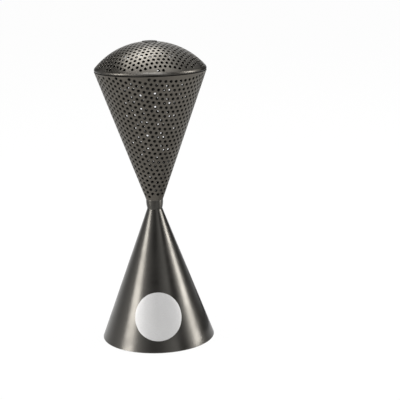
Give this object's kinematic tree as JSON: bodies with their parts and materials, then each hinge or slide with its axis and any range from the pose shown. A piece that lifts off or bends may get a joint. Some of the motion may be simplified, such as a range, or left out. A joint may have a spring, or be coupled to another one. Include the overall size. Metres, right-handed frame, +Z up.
{
  "type": "cone shaker",
  "caption": "Hand shaker of two metal cones joined at their tips: a perforated, domed head with loose steel balls inside over a plain open bell that the palm covers.",
  "frame": {"origin": "centre of the bell's mouth, on the plane that the shaker stands on", "axes": "+Z up the common axis of the two cones, -Y towards the badge on the bell's front"},
  "size_m": [0.075, 0.075, 0.1997],
  "materials": {
    "bell_sheet": "brushed dark nickel, semi-gloss",
    "neck_steel": "dark nickel, satin",
    "head_sheet": "dark nickel on perforated sheet, satin",
    "cap_sheet": "dark nickel on perforated sheet, satin",
    "plug_rubber": "matt black rubber",
    "ball_steel": "bright steel",
    "badge_foil": "satin silver, blank"
  },
  "bodies": {
    "shaker": {"bell_cone": "bell_sheet", "badge": "badge_foil", "neck_ferrule": "neck_steel", "head_cone": "head_sheet", "dome_cap": "cap_sheet"},
    "fill_plug": {"fill_plug": "plug_rubber"},
    "ball_22": {"ball_22": "ball_steel"},
    "ball_01": {"ball_01": "ball_steel"},
    "ball_02": {"ball_02": "ball_steel"},
    "ball_03": {"ball_03": "ball_steel"},
    "ball_04": {"ball_04": "ball_steel"},
    "ball_05": {"ball_05": "ball_steel"},
    "ball_06": {"ball_06": "ball_steel"},
    "ball_07": {"ball_07": "ball_steel"},
    "ball_08": {"ball_08": "ball_steel"},
    "ball_09": {"ball_09": "ball_steel"},
    "ball_10": {"ball_10": "ball_steel"},
    "ball_11": {"ball_11": "ball_steel"},
    "ball_12": {"ball_12": "ball_steel"},
    "ball_13": {"ball_13": "ball_steel"},
    "ball_14": {"ball_14": "ball_steel"},
    "ball_15": {"ball_15": "ball_steel"},
    "ball_16": {"ball_16": "ball_steel"},
    "ball_17": {"ball_17": "ball_steel"},
    "ball_18": {"ball_18": "ball_steel"},
    "ball_19": {"ball_19": "ball_steel"},
    "ball_20": {"ball_20": "ball_steel"},
    "ball_21": {"ball_21": "ball_steel"},
    "ball_23": {"ball_23": "ball_steel"},
    "ball_24": {"ball_24": "ball_steel"},
    "ball_25": {"ball_25": "ball_steel"},
    "ball_26": {"ball_26": "ball_steel"},
    "ball_27": {"ball_27": "ball_steel"},
    "ball_28": {"ball_28": "ball_steel"},
    "ball_29": {"ball_29": "ball_steel"},
    "ball_30": {"ball_30": "ball_steel"},
    "ball_31": {"ball_31": "ball_steel"},
    "ball_32": {"ball_32": "ball_steel"},
    "ball_33": {"ball_33": "ball_steel"},
    "ball_34": {"ball_34": "ball_steel"},
    "ball_35": {"ball_35": "ball_steel"},
    "ball_36": {"ball_36": "ball_steel"}
  },
  "joints": [
    {"name": "plug_pull", "type": "slide", "parent": "shaker", "child": "fill_plug", "axis": [0, 0, 1], "range_m": [0, 0.012]},
    {"name": "ball_22_throw", "type": "slide", "parent": "shaker", "child": "ball_22", "axis": [0, -0.2598, 0.9657], "range_m": [0, 0.06936]},
    {"name": "ball_01_throw", "type": "slide", "parent": "shaker", "child": "ball_01", "axis": [0, -0.193, 0.9812], "range_m": [0, 0.03813]},
    {"name": "ball_02_throw", "type": "slide", "parent": "shaker", "child": "ball_02", "axis": [0.193, 0, 0.9812], "range_m": [0, 0.03813]},
    {"name": "ball_03_throw", "type": "slide", "parent": "shaker", "child": "ball_03", "axis": [0, 0.193, 0.9812], "range_m": [0, 0.03813]},
    {"name": "ball_04_throw", "type": "slide", "parent": "shaker", "child": "ball_04", "axis": [-0.193, 0, 0.9812], "range_m": [0, 0.03813]},
    {"name": "ball_05_throw", "type": "slide", "parent": "shaker", "child": "ball_05", "axis": [0, -0.225, 0.9744], "range_m": [0, 0.04851]},
    {"name": "ball_06_throw", "type": "slide", "parent": "shaker", "child": "ball_06", "axis": [0.1948, -0.1125, 0.9744], "range_m": [0, 0.04851]},
    {"name": "ball_07_throw", "type": "slide", "parent": "shaker", "child": "ball_07", "axis": [0.1948, 0.1125, 0.9744], "range_m": [0, 0.04851]},
    {"name": "ball_08_throw", "type": "slide", "parent": "shaker", "child": "ball_08", "axis": [0, 0.225, 0.9744], "range_m": [0, 0.04851]},
    {"name": "ball_09_throw", "type": "slide", "parent": "shaker", "child": "ball_09", "axis": [-0.1948, 0.1125, 0.9744], "range_m": [0, 0.04851]},
    {"name": "ball_10_throw", "type": "slide", "parent": "shaker", "child": "ball_10", "axis": [-0.1948, -0.1125, 0.9744], "range_m": [0, 0.04851]},
    {"name": "ball_11_throw", "type": "slide", "parent": "shaker", "child": "ball_11", "axis": [0, 0, 1], "range_m": [0, 0.04727]},
    {"name": "ball_12_throw", "type": "slide", "parent": "shaker", "child": "ball_12", "axis": [0, -0.2455, 0.9694], "range_m": [0, 0.05893]},
    {"name": "ball_13_throw", "type": "slide", "parent": "shaker", "child": "ball_13", "axis": [0.1578, -0.1881, 0.9694], "range_m": [0, 0.05893]},
    {"name": "ball_14_throw", "type": "slide", "parent": "shaker", "child": "ball_14", "axis": [0.2418, -0.0426, 0.9694], "range_m": [0, 0.05893]},
    {"name": "ball_15_throw", "type": "slide", "parent": "shaker", "child": "ball_15", "axis": [0.2126, 0.1228, 0.9694], "range_m": [0, 0.05893]},
    {"name": "ball_16_throw", "type": "slide", "parent": "shaker", "child": "ball_16", "axis": [0.084, 0.2307, 0.9694], "range_m": [0, 0.05893]},
    {"name": "ball_17_throw", "type": "slide", "parent": "shaker", "child": "ball_17", "axis": [-0.084, 0.2307, 0.9694], "range_m": [0, 0.05893]},
    {"name": "ball_18_throw", "type": "slide", "parent": "shaker", "child": "ball_18", "axis": [-0.2126, 0.1228, 0.9694], "range_m": [0, 0.05893]},
    {"name": "ball_19_throw", "type": "slide", "parent": "shaker", "child": "ball_19", "axis": [-0.2418, -0.0426, 0.9694], "range_m": [0, 0.05893]},
    {"name": "ball_20_throw", "type": "slide", "parent": "shaker", "child": "ball_20", "axis": [-0.1578, -0.1881, 0.9694], "range_m": [0, 0.05893]},
    {"name": "ball_21_throw", "type": "slide", "parent": "shaker", "child": "ball_21", "axis": [0, 0, 1], "range_m": [0, 0.05712]},
    {"name": "ball_23_throw", "type": "slide", "parent": "shaker", "child": "ball_23", "axis": [0.1405, -0.2186, 0.9657], "range_m": [0, 0.06937]},
    {"name": "ball_24_throw", "type": "slide", "parent": "shaker", "child": "ball_24", "axis": [0.2364, -0.1079, 0.9657], "range_m": [0, 0.06937]},
    {"name": "ball_25_throw", "type": "slide", "parent": "shaker", "child": "ball_25", "axis": [0.2572, 0.037, 0.9657], "range_m": [0, 0.06937]},
    {"name": "ball_26_throw", "type": "slide", "parent": "shaker", "child": "ball_26", "axis": [0.1964, 0.1702, 0.9657], "range_m": [0, 0.06937]},
    {"name": "ball_27_throw", "type": "slide", "parent": "shaker", "child": "ball_27", "axis": [0.0732, 0.2493, 0.9657], "range_m": [0, 0.06937]},
    {"name": "ball_28_throw", "type": "slide", "parent": "shaker", "child": "ball_28", "axis": [-0.0732, 0.2493, 0.9657], "range_m": [0, 0.06937]},
    {"name": "ball_29_throw", "type": "slide", "parent": "shaker", "child": "ball_29", "axis": [-0.1964, 0.1702, 0.9657], "range_m": [0, 0.06937]},
    {"name": "ball_30_throw", "type": "slide", "parent": "shaker", "child": "ball_30", "axis": [-0.2572, 0.037, 0.9657], "range_m": [0, 0.06937]},
    {"name": "ball_31_throw", "type": "slide", "parent": "shaker", "child": "ball_31", "axis": [-0.2364, -0.1079, 0.9657], "range_m": [0, 0.06937]},
    {"name": "ball_32_throw", "type": "slide", "parent": "shaker", "child": "ball_32", "axis": [-0.1405, -0.2186, 0.9657], "range_m": [0, 0.06937]},
    {"name": "ball_33_throw", "type": "slide", "parent": "shaker", "child": "ball_33", "axis": [0, -0.121, 0.9927], "range_m": [0, 0.06748]},
    {"name": "ball_34_throw", "type": "slide", "parent": "shaker", "child": "ball_34", "axis": [0.121, 0, 0.9927], "range_m": [0, 0.06748]},
    {"name": "ball_35_throw", "type": "slide", "parent": "shaker", "child": "ball_35", "axis": [0, 0.121, 0.9927], "range_m": [0, 0.06748]},
    {"name": "ball_36_throw", "type": "slide", "parent": "shaker", "child": "ball_36", "axis": [-0.121, 0, 0.9927], "range_m": [0, 0.06748]}
  ],
  "couplings": [
    {"joint": "ball_01_throw", "follows": "ball_22_throw", "ratio": 0.54962},
    {"joint": "ball_02_throw", "follows": "ball_22_throw", "ratio": 0.54962},
    {"joint": "ball_03_throw", "follows": "ball_22_throw", "ratio": 0.54962},
    {"joint": "ball_04_throw", "follows": "ball_22_throw", "ratio": 0.54962},
    {"joint": "ball_05_throw", "follows": "ball_22_throw", "ratio": 0.69933},
    {"joint": "ball_06_throw", "follows": "ball_22_throw", "ratio": 0.69933},
    {"joint": "ball_07_throw", "follows": "ball_22_throw", "ratio": 0.69933},
    {"joint": "ball_08_throw", "follows": "ball_22_throw", "ratio": 0.69933},
    {"joint": "ball_09_throw", "follows": "ball_22_throw", "ratio": 0.69933},
    {"joint": "ball_10_throw", "follows": "ball_22_throw", "ratio": 0.69933},
    {"joint": "ball_11_throw", "follows": "ball_22_throw", "ratio": 0.6814},
    {"joint": "ball_12_throw", "follows": "ball_22_throw", "ratio": 0.84953},
    {"joint": "ball_13_throw", "follows": "ball_22_throw", "ratio": 0.84953},
    {"joint": "ball_14_throw", "follows": "ball_22_throw", "ratio": 0.84953},
    {"joint": "ball_15_throw", "follows": "ball_22_throw", "ratio": 0.84953},
    {"joint": "ball_16_throw", "follows": "ball_22_throw", "ratio": 0.84953},
    {"joint": "ball_17_throw", "follows": "ball_22_throw", "ratio": 0.84953},
    {"joint": "ball_18_throw", "follows": "ball_22_throw", "ratio": 0.84953},
    {"joint": "ball_19_throw", "follows": "ball_22_throw", "ratio": 0.84953},
    {"joint": "ball_20_throw", "follows": "ball_22_throw", "ratio": 0.84953},
    {"joint": "ball_21_throw", "follows": "ball_22_throw", "ratio": 0.82353},
    {"joint": "ball_23_throw", "follows": "ball_22_throw", "ratio": 1},
    {"joint": "ball_24_throw", "follows": "ball_22_throw", "ratio": 1},
    {"joint": "ball_25_throw", "follows": "ball_22_throw", "ratio": 1},
    {"joint": "ball_26_throw", "follows": "ball_22_throw", "ratio": 1},
    {"joint": "ball_27_throw", "follows": "ball_22_throw", "ratio": 1},
    {"joint": "ball_28_throw", "follows": "ball_22_throw", "ratio": 1},
    {"joint": "ball_29_throw", "follows": "ball_22_throw", "ratio": 1},
    {"joint": "ball_30_throw", "follows": "ball_22_throw", "ratio": 1},
    {"joint": "ball_31_throw", "follows": "ball_22_throw", "ratio": 1},
    {"joint": "ball_32_throw", "follows": "ball_22_throw", "ratio": 1},
    {"joint": "ball_33_throw", "follows": "ball_22_throw", "ratio": 0.9728},
    {"joint": "ball_34_throw", "follows": "ball_22_throw", "ratio": 0.9728},
    {"joint": "ball_35_throw", "follows": "ball_22_throw", "ratio": 0.9728},
    {"joint": "ball_36_throw", "follows": "ball_22_throw", "ratio": 0.9728}
  ]
}
